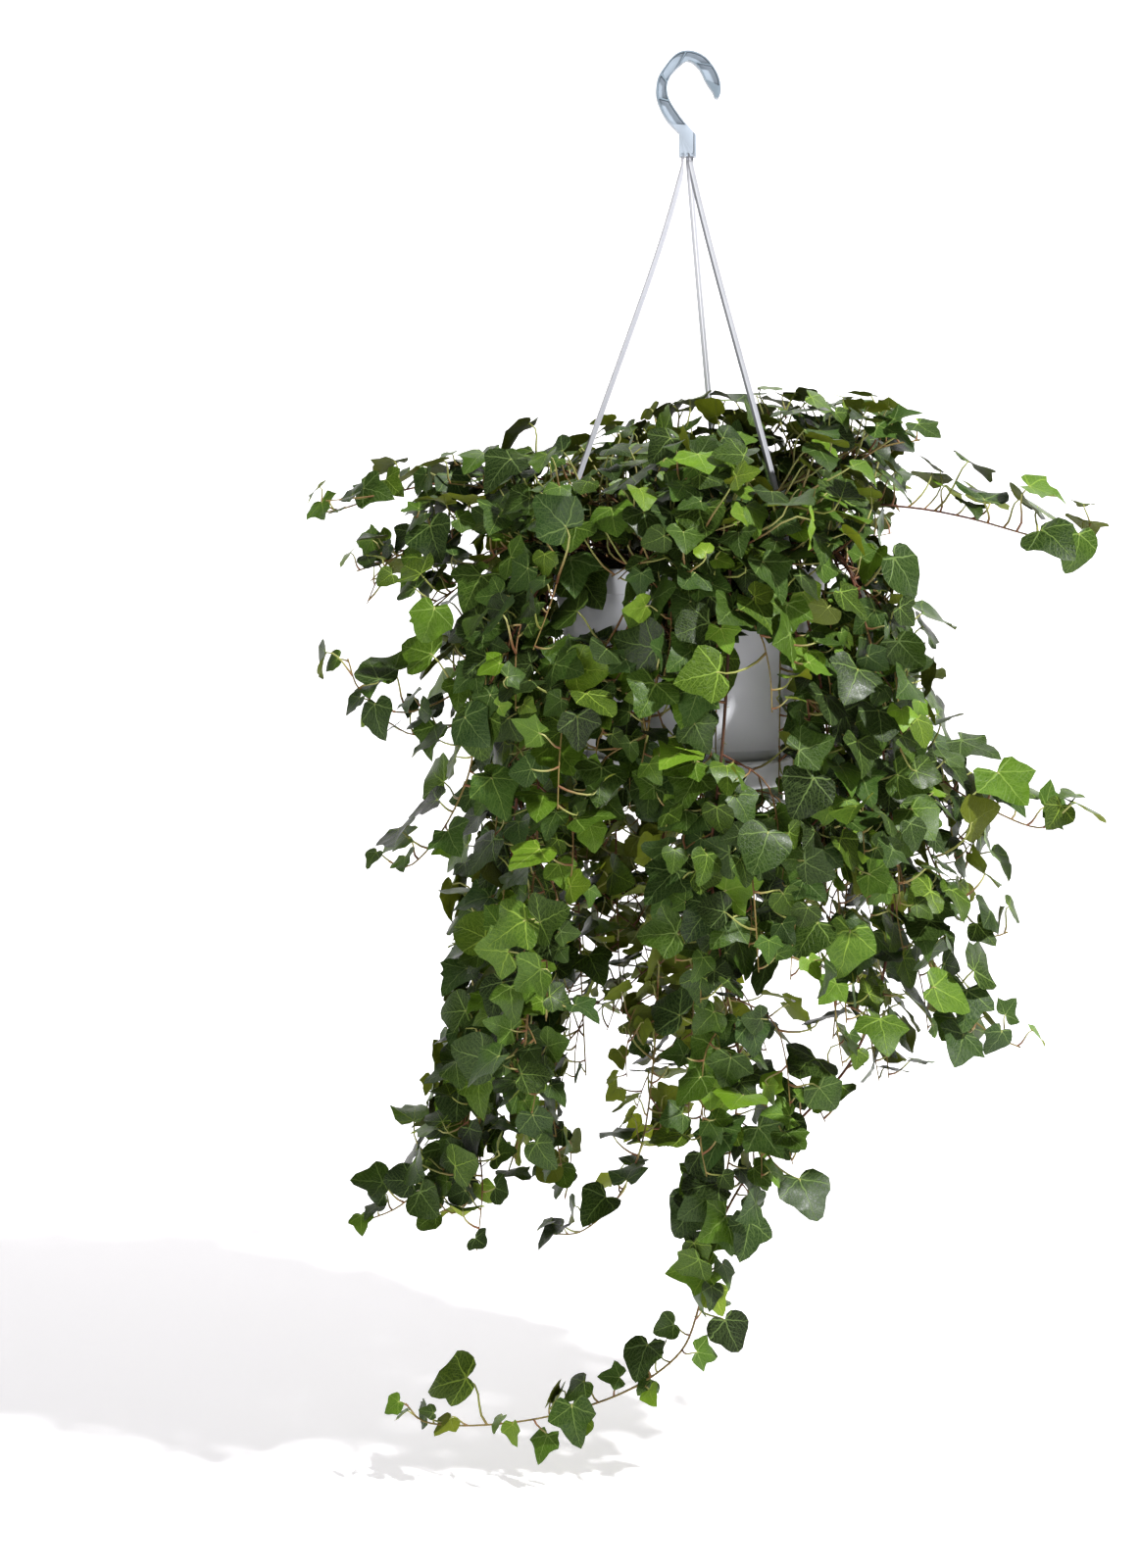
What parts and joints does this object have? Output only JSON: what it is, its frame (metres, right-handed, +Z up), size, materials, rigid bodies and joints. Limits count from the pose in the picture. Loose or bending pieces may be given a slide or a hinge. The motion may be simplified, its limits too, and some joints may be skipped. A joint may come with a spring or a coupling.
{
  "type": "potted hanging ivy",
  "caption": "Trailing ivy in a round hanging pot with a clip-on saucer, carried on flat straps by a moulded hook, to hang indoors or on a terrace.",
  "frame": {"origin": "the hook's seat, the middle of its inner top surface, where the part hangs", "axes": "+Z up along the shank, +X to the right of the front view towards the hook's tip, +Y to the back"},
  "size_m": [0.679, 0.475, 1.1736],
  "materials": {
    "hook_plastic": "satin moulded plastic, pale blue-grey",
    "strap_plastic": "satin, white",
    "pot_plastic": "satin moulded plastic, light grey",
    "soil": "crumbly, dark brown, fibrous",
    "leaf": "semi-gloss leaf with pale veins, dark green"
  },
  "bodies": {
    "root": {"hook": "hook_plastic", "strap_left": "strap_plastic", "strap_right": "strap_plastic", "strap_rear": "strap_plastic", "pot": "pot_plastic", "saucer": "pot_plastic", "soil": "soil", "vine_01": "leaf", "vine_02": "leaf", "vine_03": "leaf", "vine_04": "leaf", "vine_05": "leaf", "vine_06": "leaf", "vine_07": "leaf", "vine_08": "leaf", "vine_09": "leaf", "vine_10": "leaf", "vine_11": "leaf", "vine_12": "leaf", "vine_13": "leaf", "vine_14": "leaf", "vine_15": "leaf", "vine_16": "leaf", "vine_17": "leaf", "vine_18": "leaf", "vine_19": "leaf", "vine_20": "leaf", "vine_21": "leaf", "vine_22": "leaf", "vine_23": "leaf", "vine_24": "leaf", "vine_25": "leaf", "vine_26": "leaf", "vine_27": "leaf", "vine_28": "leaf", "vine_29": "leaf", "vine_30": "leaf", "vine_31": "leaf", "vine_32": "leaf", "vine_33": "leaf", "vine_34": "leaf", "vine_35": "leaf", "vine_36": "leaf", "vine_37": "leaf", "vine_38": "leaf", "vine_39": "leaf", "vine_40": "leaf", "vine_41": "leaf", "vine_42": "leaf", "vine_43": "leaf", "vine_44": "leaf", "vine_45": "leaf", "vine_46": "leaf", "vine_47": "leaf", "vine_48": "leaf", "vine_49": "leaf", "vine_50": "leaf"}
  },
  "joints": []
}
